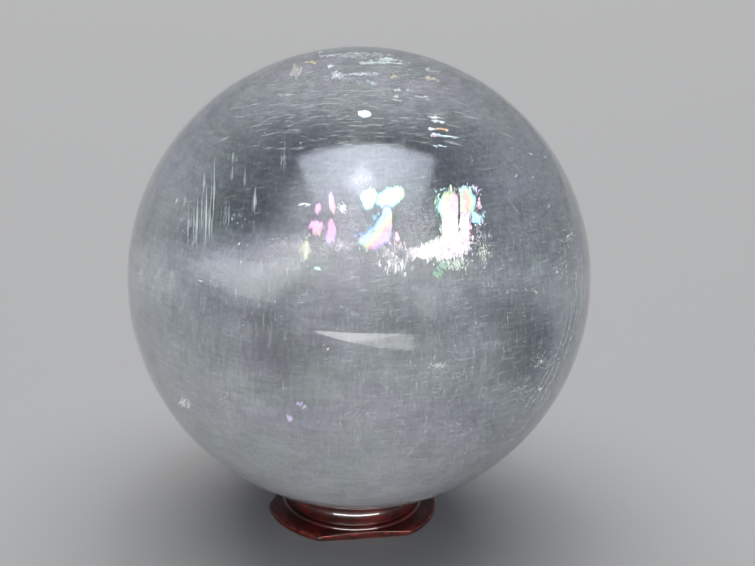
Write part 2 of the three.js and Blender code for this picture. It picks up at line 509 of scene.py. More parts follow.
def milky_haze():
    """Light scattered inside the stone, as dense as the milk there, and streaked by a fibrous noise."""
    material, tree, unused = nodes_of("milky_haze")
    tree.nodes.remove(unused)
    place = own_place(tree)
    fibrous = noise(tree, place, STREAK_WAVES, 3.0)
    streaks = scaled(tree, fibrous, 2.4 * HAZE_DENSITY, -0.2 * HAZE_DENSITY)
    density = sums(tree, "MAXIMUM", product(tree, milk(tree, place), streaks), 0.0)
    feed_named(tree, tree.nodes["Material Output"], {
        "Surface": chain(tree, "BsdfTransparent"),
        "Volume": chain(tree, "VolumeScatter", Color=HAZE_COLOUR, Density=density, Anisotropy=0.05),
    })
    return material


haze = closed_ball("milky_haze", milky_haze(), sphere_radius * HAZE_SHARE)
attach(haze, "root")
scene.cycles.volume_bounces, scene.cycles.volume_step_rate = 1, 0.9
scene.cycles.max_bounces, scene.cycles.diffuse_bounces = 8, 2


# Cleavage fibres. Tens of thousands of hair-fine cracks run up through the crystal along one cleavage, and as
# many lie across it. They crowd where the stone is milky and give the milk its grain.
FIBRE_COUNT = 46000  # in each layer, at most
FIBRE_TRIES = 9  # places tried for each fibre
FIBRE_UP = np.array([0.02, -0.03, 1.0])
FIBRE_LEVEL = np.array([0.97, 0.20, 0.05])
FIBRE_STRAY = 0.03
FIBRE_LENGTH = 0.0005, 0.0036
FIBRE_WIDTH = 0.000008, 0.000023
FIBRE_CHANCE, FIBRE_SURE = 0.12, 1.1  # the chance where there is no milk, and the milk that keeps them all
KEPT_INSIDE = 0.985  # of the radius: no crack reaches the polish
GREEN_WHITE, VIOLET_WHITE = (0.90, 0.98, 0.90, 1), (0.96, 0.96, 1.0, 1)
WHITE_WAVES, SHADOW_WAVES, ROUGH_WAVES = 70, 1500, 300  # to the metre


def eased(value, low, high):
    """0 below low and 1 above high, with t^2 (3 - 2 t) between."""
    t = np.clip((value - low) / (high - low), 0, 1)
    return t * t * (3 - 2 * t)


def milkiness(places):
    """The haze's milk at many places, near enough for the fibres: with slow waves instead of its noise, and
    without its finer turns."""
    share = (places - sphere_centre) / sphere_radius
    x, y, z = share.T
    waves = np.sin(3.1 * x + 1.7 * y + 0.4) * np.sin(2.3 * y - 2.9 * z + 1.1)
    height = share @ CLOUD_UP - CLOUD_LIFT + 0.08 * waves
    low = LOW_MILK * eased(height, *LOW_DEPTH)
    cloud = CLOUD_MILK * eased(np.abs(height), CLOUD_HALF_THICKNESS, 0) * (0.4 + 0.6 * eased(x, 0.5, -0.3))
    cap = CAP_MILK * eased(z, 0.72, 0.98)
    under_skin = eased(np.linalg.norm(share, axis=1), *UNDER_SKIN)
    side = SIDE_MILK * under_skin * eased(share @ CLEAR_FACE, 0.70, 0.30)
    total = TRACE_MILK + low + cloud + cap + side
    for x, y, reach, amount in (*MILK_SPOTS, (*GLOW_PIXEL, GLOW_RADIUS, GLOW_MILK)):
        total = total + amount * eased(np.linalg.norm(share - spot_place(x, y), axis=1), reach, 0)
    return total


def closed_slivers(name, material, corners):
    """A piece of closed slivers, corners being slivers x 4 x 3: a tip, a side, the other tip and the other
    side, which don't lie in one plane. Each is turned so that its four triangles face outward."""
    a, b, c, d = np.moveaxis(corners, 1, 0)
    inside_out = (np.cross(b - a, c - a) * (d - a)).sum(axis=1) < 0
    corners = np.where(inside_out[:, None, None], corners[:, [0, 3, 2, 1]], corners)
    outward = np.array([[0, 2, 1], [0, 1, 3], [1, 2, 3], [2, 0, 3]])
    faces = np.arange(len(corners))[:, None, None] * 4 + outward
    return piece_of(name, material, corners.reshape(-1, 3), faces.reshape(-1, 3))


def inside_stone(corners):
    """Which slivers lie wholly inside the stone."""
    return np.linalg.norm(corners - sphere_centre, axis=-1).max(axis=1) < KEPT_INSIDE * sphere_radius


def fibres_along(random, along):
    """Slivers along a direction that strays a little, spread through the ball and densest near its skin:
    the share of the radius is the seventh root of an even spread. A place is kept with a chance that grows
    with the milk there."""
    middle = random.normal(0, 1, (FIBRE_COUNT * FIBRE_TRIES, 3))
    away = np.linalg.norm(middle, axis=1, keepdims=True)
    middle *= random.uniform(0, 1, away.shape) ** (1 / 7) / away
    middle = middle * sphere_radius + sphere_centre
    kept = random.uniform(0, FIBRE_SURE, len(middle)) < FIBRE_CHANCE + milkiness(middle)
    middle = middle[kept][:FIBRE_COUNT]
    size = len(middle), 1
    way = along + random.normal(0, FIBRE_STRAY, (len(middle), 3))
    way /= np.linalg.norm(way, axis=1, keepdims=True)
    side = np.cross(way, random.normal(0, 1, (len(middle), 3)))
    side /= np.linalg.norm(side, axis=1, keepdims=True)
    long_half = way * random.uniform(*FIBRE_LENGTH, size) / 2
    width = random.uniform(*FIBRE_WIDTH, size)
    tips = middle - long_half, middle + long_half
    sides = middle + side * width, middle + np.cross(way, side) * width
    corners = np.stack([tips[0], sides[0], tips[1], sides[1]], axis=1)
    return corners[inside_stone(corners)]


def fibre_white():
    """White with a slow drift between greenish and violet, as the milk has."""
    material, tree, shader = nodes_of("fibre_white")
    place = own_place(tree)
    white = mixed(tree, noise(tree, place, WHITE_WAVES), GREEN_WHITE, VIOLET_WHITE)
    light = rising(tree, noise(tree, place, SHADOW_WAVES), 0.42, 0.58, 1.0, 0.40)
    feed_named(tree, shader, {
        "Base Color": vectors(tree, "SCALE", white, Scale=light),
        "Roughness": scaled(tree, noise(tree, place, ROUGH_WAVES), 0.3, 0.25),
    })
    return material


random = np.random.default_rng(7)
fibre_material = fibre_white()
fibres = []
for name, along in (("upright_fibres", FIBRE_UP), ("level_fibres", FIBRE_LEVEL)):
    layer = closed_slivers(name, fibre_material, fibres_along(random, along))
    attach(layer, "root")
    fibres.append(layer)


# Bright cracks. Larger open cracks whose brightness is a painted glint that they give off as light: upright
# needles on the left, thin level layers under the crown, a torn white frost to the right of the middle,
# curved lines inside the right rim, and single flecks.
CRACK_OPENING = 0.00004
# A crack's glow is a painted glint: how much light it gives off.
SHADES = "film", "pale", "glow"  # what colours a crack: its film's thickness, its paleness and its brightness
FILM_TURNS = 5.12, 6.283, 7.40  # radians that red, green and blue turn over a wavelength of green
NEEDLE_LEAN = 1.5  # pixels from top to bottom
NEEDLE_DEPTH, FROST_NEEDLE_DEPTH = (0.006, 0.014), 0.003  # behind the skin
FINER_NEEDLES, CROWN_BITS, HAIR_COUNT = 3, 5, 900  # beside each needle, along each crown layer, and in all
RIM_POINTS = 9  # along each rim line
HAIRS_WITHIN, FROST_WITHIN = 221, 226  # pixels from the sphere's centre
OTHER_SIDES = 85, 175, 265  # degrees round from the front
OTHER_PATCHES, OTHER_NEEDLES = 16, 14  # on each of them
X, Y, COUNT, BRIGHT, PALE = 0, 1, 4, 6, 8  # columns of the frost's patches


def slivers(x, y, end_x, end_y, width, depth):
    """Pointed slivers that show in the photograph from (x, y) to (end_x, end_y), widest halfway, at a depth
    behind the skin. One side stands a crack's opening further in than the other."""
    x, y, end_x, end_y, width, depth = np.broadcast_arrays(x, y, end_x, end_y, width, depth)
    long = np.maximum(np.hypot(end_x - x, end_y - y), 0.01)
    aside = np.stack([-(end_y - y), end_x - x]) / long * width / 2
    middle = np.stack([x + end_x, y + end_y]) / 2
    at = np.stack([[x, y], middle + aside, [end_x, end_y], middle - aside], axis=-1)
    deep = depth[:, None] + np.array([0, CRACK_OPENING, 0, 0])
    return seen_inside(at[0], at[1], deep)


def shade(corners, film, pale, glow):
    """Slivers with a film, pale and glow value each."""
    values = [np.broadcast_to(value, len(corners)) for value in (film, pale, glow)]
    return corners, np.stack(values, axis=1)


# How bright a crack is sets its painted glint: the light it gives off.
NEEDLES = np.array([  # x, top, bottom and width in pixels, and how bright
    [394.8, 261, 275, 2.2, 1.3], [401.3, 258, 272, 2, 1.3], [387, 266, 275, 1.4, 0.7],
    [378.5, 257, 268, 1.2, 0.5], [404.3, 270, 278, 1.4, 0.9], [426.8, 256, 264, 1.6, 1],
    [406.5, 252, 262, 1.3, 0.6], [391, 250, 258, 1.4, 0.6], [412, 263, 271, 1, 0.4],
    [187.5, 197, 245, 1.2, 0.4], [196.5, 195, 252, 1.4, 0.5], [203, 170, 195, 1.2, 0.5],
    [205.5, 182, 252, 2, 0.55], [209, 200, 245, 1.2, 0.35], [213.5, 155, 222, 1.1, 0.3],
    [225, 196, 232, 1, 0.2], [228, 198, 232, 1, 0.2], [232, 151, 164, 1.2, 0.5],
    [231.5, 164, 182, 1.1, 0.3], [244, 168, 190, 1, 0.15], [254, 185, 214, 1.5, 0.8],
    [176, 197, 204, 1.6, 0.6], [184, 194, 206, 1.6, 0.5], [193, 197, 250, 1, 0.3],
    [201, 190, 240, 1.1, 0.35], [171.5, 266, 281, 1.6, 0.45], [141, 269, 277, 1.4, 0.4],
    [156, 273, 279, 1.4, 0.4], [283.5, 134, 178, 1.6, 0.05],
])
# How bright a layer is sets its painted glint: the light it gives off.
CROWN_LAYERS = np.array([  # y, left, right and width in pixels, how bright, film and paleness
    [63, 356, 407, 2, 0.9, 1.3, 0.85], [59, 378, 389, 2.2, 1, 1.25, 0.75],
    [73, 353, 380, 1.2, 0.5, 1.3, 0.8], [71, 425, 442, 1.2, 0.4, 1.7, 0.7],
    [79, 419, 441, 1.4, 0.6, 1.72, 0.55], [95, 276, 301, 1.1, 0.2, 1.5, 0.9],
    [83, 366, 380, 1.4, 0.6, 1.3, 0.7], [90, 392, 403, 1.4, 0.6, 1.5, 0.9],
    [97, 414, 430, 1.2, 0.4, 1.5, 0.9], [100, 391, 405, 1.4, 0.4, 1.5, 0.9],
    [62, 303, 320, 1.4, 0.8, 1.72, 0.45], [66, 327, 335, 2.2, 0.9, 1.3, 0.8],
    [77, 389, 399, 1.8, 0.6, 1.75, 0.5], [90, 405, 415, 1, 0.4, 1.5, 0.9], [69, 425, 431, 2, 0.5, 1.5, 0.9],
    [52, 318, 324, 1.6, 0.7, 1.3, 0.9], [114, 358, 370, 5, 0.9, 1.3, 0.8], [97, 393, 399, 2, 0.5, 1.5, 0.9],
    [117, 427, 441, 1.6, 0.7, 1.5, 0.95], [121, 429, 447, 1.8, 0.8, 1.3, 0.85],
    [129, 428, 437, 2.6, 1, 1.3, 0.9], [129, 436, 449, 2.4, 0.9, 1.78, 0.3],
    [136, 430, 461, 3, 0.9, 1.28, 0.75], [136, 430, 438, 2.2, 0.6, 1.95, 0.6],
    [146, 432, 448, 1.6, 0.45, 1.25, 0.8],
])
FLECKS = np.array([  # x, y
    [232, 219], [239, 244], [241, 262], [218, 267], [201, 281], [211, 281], [342, 52], [352, 51], [375, 53],
    [358, 55], [331, 67], [336, 74], [339, 77], [296, 72], [549, 206], [531, 154], [472, 160], [568, 236],
    [507, 293], [557, 272], [562, 274], [536, 292], [244, 325], [275, 302], [341, 306], [328, 349],
    [373, 83], [184, 401], [188, 406], [430, 366], [476, 323], [541, 361], [540, 389], [545, 157],
    [533, 177], [516, 176],
])
# A patch's brightness sets its needles' painted glint: the light they give off.
FROST = np.array([  # x, y, half width, half height, count, lean in degrees, brightness, film and paleness
    [418, 253, 8, 4, 260, 20, 0.95, 1.9, 0.85], [430, 250, 9, 5.5, 400, 15, 0.95, 1.66, 0.86],
    [442, 248, 9, 7.5, 560, 0, 0.95, 1.9, 0.86], [456, 245, 9, 9, 660, 0, 0.95, 1.95, 0.84],
    [464, 242, 6, 9, 340, 0, 0.95, 1.95, 0.8], [450, 229, 7, 8, 160, 0, 0.9, 1.5, 0.85],
    [466, 226, 4, 7, 90, 0, 1, 1.95, 0.7], [389, 259, 9, 8, 60, 5, 0.6, 1.95, 0.9],
    [399, 264, 7, 7, 24, -3, 0.7, 1.9, 0.9], [454, 263, 12, 5, 110, 0, 0.5, 1.55, 0.8],
    [350, 224, 26, 14, 760, 0, 0.24, 2.05, 0.9], [380, 226, 26, 16, 300, 0, 0.18, 2.05, 0.9],
    [300, 245, 26, 9, 420, 0, 0.24, 1.95, 0.9], [415, 222, 15, 16, 420, 0, 0.2, 2.02, 0.86],
    [306, 250, 6, 9, 120, 0, 0.4, 1.64, 0.85], [340, 245, 12, 5, 160, 0, 0.35, 2, 0.85],
    [478, 236, 12, 12, 180, 0, 0.25, 1.95, 0.9], [452, 203, 22, 14, 200, 0, 0.18, 2, 0.9],
    [485, 253, 5, 9, 50, 10, 0.4, 1.66, 0.7], [396, 247, 10, 5, 50, 0, 0.8, 1.95, 0.75],
    [468, 189, 9, 3, 50, 0, 0.9, 1.32, 0.75], [448, 192, 9, 3, 24, 0, 0.7, 1.42, 0.45],
    [479, 204, 3, 10, 30, 20, 0.8, 1.95, 0.6], [481, 219, 4, 5, 40, -30, 0.8, 1.32, 0.65],
    [438, 205, 3, 10, 26, 0, 0.7, 1.46, 0.4], [366, 233, 7, 6, 40, 50, 0.8, 1.22, 0.4],
    [376, 221, 5, 9, 36, 40, 0.8, 1.24, 0.4], [373, 247, 9, 2.5, 36, 10, 0.8, 1.5, 0.6],
    [288, 256, 14, 6, 60, 0, 0.16, 1.95, 0.8], [325, 246, 20, 7, 70, 5, 0.2, 2.1, 0.75],
    [343, 209, 3.5, 4.5, 26, -40, 0.9, 1.6, 0.92], [305, 205, 5, 1.5, 16, 75, 0.8, 1.5, 0.85],
    [363, 180, 7, 5, 40, 0, 0.25, 1.7, 0.8], [230, 400, 9, 8, 90, 10, 0.14, 1.6, 0.85],
    [183, 403, 6, 4, 60, 45, 0.32, 1.5, 0.95], [176, 394, 7, 6, 50, -45, 0.18, 1.5, 0.95],
    [341, 397, 6, 7, 50, 0, 0.12, 1.6, 0.85], [362, 414, 16, 3, 60, 80, 0.1, 1.5, 0.9],
    [440, 365, 8, 2.4, 60, 80, 0.26, 1.5, 0.95], [448, 374, 16, 5, 60, 80, 0.06, 1.5, 0.95],
    [545, 362, 12, 7, 90, 60, 0.1, 1.5, 0.95], [530, 392, 16, 10, 110, 65, 0.05, 1.5, 0.95],
    [470, 452, 40, 14, 160, 68, 0.03, 1.5, 0.95], [458, 424, 10, 3, 50, 70, 0.1, 1.8, 0.7],
    [350, 54, 42, 3.5, 240, 85, 0.45, 1.35, 0.8], [360, 76, 55, 9, 220, 84, 0.22, 1.35, 0.8],
    [385, 60, 12, 2.5, 60, 75, 0.9, 1.3, 0.8], [336, 75, 4, 3, 30, 30, 0.9, 1.35, 0.85],
    [295, 71, 5, 4, 50, 20, 0.5, 1.68, 0.75], [360, 74, 16, 1, 60, 85, 0.6, 1.35, 0.85],
    [192, 222, 12, 22, 60, 0, 0.2, 1.5, 0.9], [237, 222, 12, 16, 30, 0, 0.12, 1.5, 0.9],
    [566, 240, 6, 10, 40, -4, 0.15, 1.5, 0.95], [560, 270, 5, 10, 40, -4, 0.15, 1.5, 0.95],
    [165, 275, 20, 8, 60, 0, 0.1, 1.4, 0.85], [520, 290, 20, 2, 30, 80, 0.1, 1.5, 0.95],
])
# How bright a line is sets its painted glint: the light it gives off.
RIM_LINES = np.array([  # radius in pixels, first and last angle below level to the right, and how bright
    [216.5, -2, 9, 0.25], [214.5, 6, 19, 0.12], [219.5, 8, 22, 0.08], [211, 10, 24, 0.05],
    [222.5, -6, 12, 0.05], [207, -10, 2, 0.1], [217.5, 20, 36, 0.1], [213, 24, 40, 0.08],
    [209.5, 26, 38, 0.07], [221.5, 30, 48, 0.08],
])


def frost(random, patches):
    """Tiny needles heaped in oval patches, thickest in each one's middle."""
    count = patches[:, COUNT].astype(int)
    x, y, half_x, half_y, _, lean, bright, film, pale = np.repeat(patches, count, axis=0).T
    total = count.sum()
    x, y = x + random.normal(0, 0.6, total) * half_x, y + random.normal(0, 0.6, total) * half_y
    off_centre = np.hypot(x - SPHERE_PIXEL[0], y - SPHERE_PIXEL[1])
    lean = np.radians(lean + random.normal(0, 1, total) * (9 + 24 * eased(bright, 0.45, 0.25)))
    strong = eased(bright, 0.22, 0.45)
    long = random.uniform(1.2, 6.5, total) * (0.4 + 0.6 * strong)
    half_across, half_down = np.sin(lean) * long / 2, np.cos(lean) * long / 2
    corners = slivers(
        x - half_across, y + half_down, x + half_across, y - half_down,
        random.uniform(0.5, 1.6, total) * (0.9 + 0.3 * strong),
        random.uniform(0.0022, 0.0040, total) + 0.005 * eased(bright, 0.30, 0.05),
    )
    # Painted glint: how much light each frost needle gives off.
    glow = bright * random.lognormal(-0.2, 0.4, total)
    kept = (off_centre < FROST_WITHIN) & inside_stone(corners)
    corners, shades = shade(corners, film + random.normal(0, 0.12, total), pale, glow)
    return corners[kept], shades[kept]


random = np.random.default_rng(11)

# Needles, each with three finer ones beside it. Those in the right half stand in the frost, nearer the skin.
x, top, bottom, width, bright = NEEDLES.T
depth = np.where(x > SPHERE_PIXEL[0], FROST_NEEDLE_DEPTH, random.uniform(*NEEDLE_DEPTH, len(x)))
cracks = [shade(slivers(x + NEEDLE_LEAN, top, x, bottom, width, depth), 1.5, 0.92, bright)]
for _ in range(FINER_NEEDLES):
    off, cut = random.normal(0, 2.2, len(x)), random.uniform(0.1, 0.5, len(x)) * (bottom - top)
    end = bottom - cut * random.uniform(0, 1, len(x))
    beside = slivers(x + NEEDLE_LEAN + off, top + cut, x + off, end, 0.7, depth)
    cracks.append(shade(beside, 1.4, 0.9, bright * 0.5))

# Crown layers, each with five broken bits along it, and fine hairs among them.
y, left, right, width, bright, film, pale = CROWN_LAYERS.T
bow = (right - left) * (left + right - 2 * SPHERE_PIXEL[0]) * 0.0006
depth = random.uniform(0.0014, 0.0030, len(y))
layers = slivers(left, y - bow / 2, right, y + bow / 2, 0.6 * width, depth)
cracks.append(shade(layers, film, pale, 1.1 * bright))
for _ in range(CROWN_BITS):
    part, where = random.uniform(0.10, 0.35, len(y)) * (right - left), random.uniform(0, 1, len(y))
    x, below = left + where * (right - left - part), y + bow * (where - 0.5) + random.normal(0, 0.9, len(y))
    wide = random.uniform(0.6, 1.3, len(y)) * width
    bits = slivers(x, below, x + part, below + bow * part / (right - left), wide, depth)
    cracks.append(shade(bits, film, pale, random.uniform(0.4, 1.3, len(y)) * bright))
x = random.normal(SPHERE_PIXEL[0], 66, HAIR_COUNT)
y = 50 + 100 * random.uniform(0, 1, HAIR_COUNT) ** 1.6
long, slope = random.uniform(3, 20, HAIR_COUNT), (x - SPHERE_PIXEL[0]) * 0.0022
shown = np.hypot(x - SPHERE_PIXEL[0], y - SPHERE_PIXEL[1]) < HAIRS_WITHIN
x, y, long, slope = x[shown], y[shown], long[shown], slope[shown]
hairs = slivers(
    x - long / 2, y - slope * long / 2, x + long / 2, y + slope * long / 2,
    random.uniform(0.3, 0.8, len(x)), random.uniform(0.002, 0.010, len(x)),
)
cracks.append(shade(hairs, random.uniform(1.25, 1.75, len(x)), 0.85, random.uniform(0.0, 0.24, len(x))))

# Single flecks.
x, y = FLECKS.T
half, lean = random.uniform(0.8, 2.2, len(x)), random.normal(0, 1.0, len(x))
width, depth = random.uniform(0.6, 1.5, len(x)), random.uniform(0.0014, 0.006, len(x))
flecks = slivers(x + lean, y - half, x - lean, y + half, width, depth)
cracks.append(shade(flecks, random.uniform(1.25, 1.7, len(x)), 0.85, random.uniform(0.25, 0.95, len(x))))

# Rim lines, each of a few short pieces.
for radius, first, last, bright in RIM_LINES:
    angle = np.radians(np.linspace(first, last, RIM_POINTS))
    x = SPHERE_PIXEL[0] + radius * np.cos(angle) + random.normal(0, 0.4, RIM_POINTS)
    y = SPHERE_PIXEL[1] + radius * np.sin(angle)
    width = random.uniform(0.3, 1.1, RIM_POINTS - 1)
    line = slivers(x[:-1], y[:-1], x[1:] + 0.2, y[1:] + 0.8, width, 0.004)
    cracks.append(shade(line, 1.4, 0.9, bright * random.uniform(0.4, 1.4, len(line))))

cracks.append(frost(random, FROST))


def turned_about(corners, degrees):
    """Points turned about the upright line through the stone's centre."""
    cos, sin = np.cos(np.radians(degrees)), np.sin(np.radians(degrees))
    turn = np.array([[cos, sin, 0], [-sin, cos, 0], [0, 0, 1]])
    return (corners - sphere_centre) @ turn + sphere_centre


# The other three sides have fewer cracks of the same kinds.
for degrees in OTHER_SIDES:
    patches = FROST[random.permutation(len(FROST))[:OTHER_PATCHES]].copy()
    patches[:, X] += random.uniform(-70, 70, len(patches))
    patches[:, Y] += random.uniform(-30, 60, len(patches))
    patches[:, COUNT] = np.minimum(0.25 * patches[:, COUNT], 40)
    # Their painted glints are much dimmer.
    patches[:, BRIGHT] *= 0.12
    patches[:, PALE] = 0.95
    corners, shades = frost(random, patches)
    cracks.append((turned_about(corners, degrees), shades))
    x, top = random.normal(240, 40, OTHER_NEEDLES), random.normal(230, 40, OTHER_NEEDLES)
    bottom = top + random.uniform(8, 40, OTHER_NEEDLES)
    width, depth = random.uniform(0.3, 0.7, OTHER_NEEDLES), random.uniform(*NEEDLE_DEPTH, OTHER_NEEDLES)
    needles = slivers(x + NEEDLE_LEAN, top, x, bottom, width, depth)
    needles, shades = shade(needles, 1.5, 0.92, random.uniform(0.0, 0.15, OTHER_NEEDLES))
    kept = inside_stone(needles)
    cracks.append((turned_about(needles[kept], degrees), shades[kept]))


def film_colour():
    """A node group: thickness in wavelengths of green light in, the film's colour out. Each of red, green
    and blue is (1 - cos(2 pi thickness x green's wavelength / its own)) / 2, then made paler by white."""
    inputs = [("Thickness", "Float"), ("White", "Float")]
    group, (thickness, white), out = new_group("film_colour", inputs, ("Color", "Color"))
    waves = vectors(group, "COSINE", vectors(group, "SCALE", FILM_TURNS, Scale=thickness))
    bright = vectors(group, "MULTIPLY_ADD", waves, (-0.5, -0.5, -0.5), (0.5, 0.5, 0.5))
    group.links.new(mixed(group, white, bright, (1, 1, 1, 1)), out)
    return group


def open_crack_painted_glint():
    """A crack with air in it: its film's colour, made paler by pale, given off as a painted glint as bright
    as glow.
    """
    material, tree, shader = nodes_of("open_crack_painted_glint")
    film, pale, glow = (
        chain(tree, "Attribute", settings={"attribute_name": kind}).node.outputs["Fac"] for kind in SHADES
    )
    colour = chain(tree, "Group", film, pale, settings={"node_tree": film_colour()})
    # Painted glint: the base colour grows brighter with glow, and the crack gives off its colour as light.
    dim = sums(tree, "MINIMUM", scaled(tree, glow, 0.2, 0.35), 0.5)
    feed_named(tree, shader, {
        "Base Color": vectors(tree, "SCALE", colour, Scale=dim),
        "Emission Color": vectors(tree, "SCALE", colour, Scale=glow),
        "Emission Strength": 1.0,
        "Roughness": 0.3,
    })
    return material


def write_shades(piece, shades):
    """Gives each point of a piece its film, pale and glow, as open_crack_painted_glint reads them."""
    for kind, values in zip(SHADES, shades.T):
        attribute = piece.data.attributes.new(kind, "FLOAT", "POINT")
        attribute.data.foreach_set("value", np.ascontiguousarray(values))


crack_material = open_crack_painted_glint()
corners, shades = (np.concatenate(arrays) for arrays in zip(*cracks))
# The cracks' glints are painted: the material gives them off as light, as bright as each point's glow.
painted_glint_cracks = closed_slivers("painted_glint_cracks", crack_material, corners)
write_shades(painted_glint_cracks, np.repeat(shades, 4, axis=0))
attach(painted_glint_cracks, "root")


# Rainbow films. Air in a few of the open cracks is thin enough to show the colours of a soap film: thinnest,
# with bright thin rings, at the crack's edge, and paler inside it. The films give off these colours as
# painted glints.
FILM_STEP = 0.6, 1.1  # pixels between a film's points, across and down
FILM_OPENING = 0.00008
FILM_DEPTH = 0.0022, 0.0026  # behind the skin
PATH_STEPS = 12  # discs to each part of a film's path
THINNEST_FILM, THICKEST_FILM = 0.4, 2.15  # wavelengths of green light
# A film's glow is how bright its painted glint is: the light it gives off.
FLASHES = (  # path of x, y, radius; film at edge, growth inward, across, down; pale; glow; tear; left, right
    ([(450, 200, 9), (449, 206, 12), (450, 212, 10)], 1.46, 0.14, 0.024, 0, 0.7, 0.54, 0.7, -np.inf, 458.3),
    ([(450.7, 185, 0.9), (451, 195, 2)], 1.5, 0.1, 0, 0, 0.6, 0.9, 0),
    ([(451, 220, 8.5), (450, 228, 8.5), (452, 237, 9)], 0.54, 0.05, 0, 0, 0.8, 0.8, 2.5, -np.inf, 458.3),
    ([(465, 194, 7.5), (467, 202, 9.6), (466, 209, 8.5)],
     1.24, 0.58, 0.006, 0, 0.6, 0.54, 1.2, 459.7, np.inf),
    ([(465, 217, 6), (465, 227, 6.5), (464, 237, 7)], 1.9, 0.06, 0, 0, 0.82, 0.78, 2.5, 459.7, np.inf),
    ([(474, 215, 3), (478, 218, 4), (474, 221, 3)], 1.3, 0.1, 0, 0, 0.5, 0.66, 1),
    ([(383, 200, 8), (390, 197, 10.5), (397, 194, 8)], 1.24, 0.4, 0.008, 0, 0.56, 0.5, 0.9),
    ([(365, 197, 5.5), (371, 195, 7), (368, 204, 6)], 1.3, 0.2, 0.014, 0, 0.8, 0.4, 0.6),
    ([(387, 211, 5), (388, 218, 8), (385, 227, 11), (380, 235, 12), (369, 240, 8.5), (361, 240, 4)],
     1.08, 0, 0.04, 0.034, 0.62, 0.52, 1.2, -np.inf, 392),
    ([(313, 225, 4.5), (319, 226, 5), (317, 231, 5)], 2, 0, -0.004, -0.014, 0.66, 0.46, 1.6),
    ([(318, 207, 2.6), (318, 212, 3.4)], 1.98, 0, 0, -0.01, 0.7, 0.36, 2),
    ([(331, 195, 2.4), (332, 203, 3.8), (332.5, 210, 2.8)], 2.1, 0, 0, -0.018, 0.72, 0.42, 1.6),
    ([(331, 223, 3.4), (332, 230, 4.6), (330, 239, 5)], 1.92, 0, 0, 0.013, 0.6, 0.46, 1.4),
    ([(306, 243, 2.2), (306, 250, 3.6), (305.5, 257, 2.4)], 1.66, 0, 0, 0, 0.74, 0.42, 3),
    ([(396.5, 233, 1.5), (397.5, 239, 2.6)], 1.95, 0, 0, 0, 0.75, 0.7, 0),
    ([(440, 266, 3), (447, 265, 3)], 1.48, 0, 0, 0, 0.5, 0.12, 1.5),
    ([(435, 275, 2.5), (441, 272, 3)], 1.48, 0, 0, 0, 0.45, 0.1, 1.5),
    ([(315, 268, 1.5), (319, 269, 2)], 1.4, 0, 0, 0, 0.75, 0.6, 0.5),
    ([(298, 403, 2), (305, 406, 1.4)], 2.2, 0, 0, 0, 0.6, 0.17, 1.6),
    ([(287, 416, 1.4), (291, 421, 2.2)], 2.2, 0, 0, 0, 0.66, 0.13, 1.6),
)


def film_cells(
    random, path, depth, first, growth, across, down, pale, glow, tear, left=-np.inf, right=np.inf
):
    """A film as a thin closed slab along a path of discs, cut off straight on the left and right. How far
    inside it a point lies is the largest of 1 - (distance / radius)^2 over the discs; each upright streak
    of it is shifted up or down by a random tear. Returns points, faces, and each point's film, pale and
    glow."""
    path = np.array(path, float)
    steps = np.linspace(0, len(path) - 1, PATH_STEPS * (len(path) - 1) + 1)
    x0, y0, r = (np.interp(steps, np.arange(len(path)), column) for column in path.T)
    xs = np.arange((x0 - r).min() - 1, (x0 + r).max() + 1, FILM_STEP[0])
    ys = np.arange((y0 - r).min() - 1 - 2 * tear, (y0 + r).max() + 1 + 2 * tear, FILM_STEP[1])
    x, y = np.meshgrid(xs, ys)
    wide, total = x.shape[1], x.size

    def streaky(values):
        """A value for each column of points, the same for two beside each other."""
        return np.repeat(values, 2)[:wide]

    streaks = streaky(random.normal(0, tear, wide // 2 + 1))
    shifted = y + np.clip(streaks, -2 * tear, 2 * tear)
    inside = 1 - (((x[..., None] - x0) ** 2 + (shifted[..., None] - y0) ** 2) / r**2).min(axis=-1)
    gone = streaky(random.uniform(0, 1, wide // 2 + 1) < 0.10 * (tear - 2))
    torn = inside - np.abs(random.normal(0, 0.06, x.shape)) - gone - (x < left) - (x > right)
    cell = (torn[:-1, :-1] + torn[1:, 1:]) / 2 > 0
    front = np.arange(total).reshape(x.shape)
    ring = [front[:-1, :-1], front[1:, :-1], front[1:, 1:], front[:-1, 1:]]
    skin = np.stack([corner[cell] for corner in ring], axis=1)
    faces = [skin, skin[:, ::-1] + total]
    padded = np.pad(cell, 1)
    beyond = padded[1:-1, :-2], padded[2:, 1:-1], padded[1:-1, 2:], padded[:-2, 1:-1]
    for side, neighbour in enumerate(beyond):
        open_side = cell & ~neighbour
        p, q = ring[side][open_side], ring[(side + 1) % 4][open_side]
        faces.append(np.stack([q, p, p + total, q + total], axis=1))
    skins = [seen_inside(x, y, depth + opening).reshape(-1, 3) for opening in (0, FILM_OPENING)]
    core = 1 - np.sqrt(1 - np.clip(inside, 0, 1))
    film = first + growth * core + across * (x - path[0, 0] + path[0, 2]) + down * (y - path[0, 1])
    pale = pale * eased(core, 0.02, 0.22) + 0.05 + random.normal(0, 0.04, x.shape)
    # Painted glint: each film's glow, brighter in its core and streaked upright.
    shine = streaky(random.uniform(0.95 - 0.10 * tear, 1.16, wide // 2 + 1))
    bright = glow * (0.85 + 0.25 * eased(core, 0.0, 0.3)) * shine * random.uniform(0.85, 1.1, x.shape)
    film, pale = np.clip(film, THINNEST_FILM, THICKEST_FILM), np.clip(pale, 0, 1)
    shades = np.stack([film, pale, bright], axis=-1).reshape(-1, 3)
    return tuple(np.concatenate(arrays) for arrays in (skins, faces, [shades, shades]))


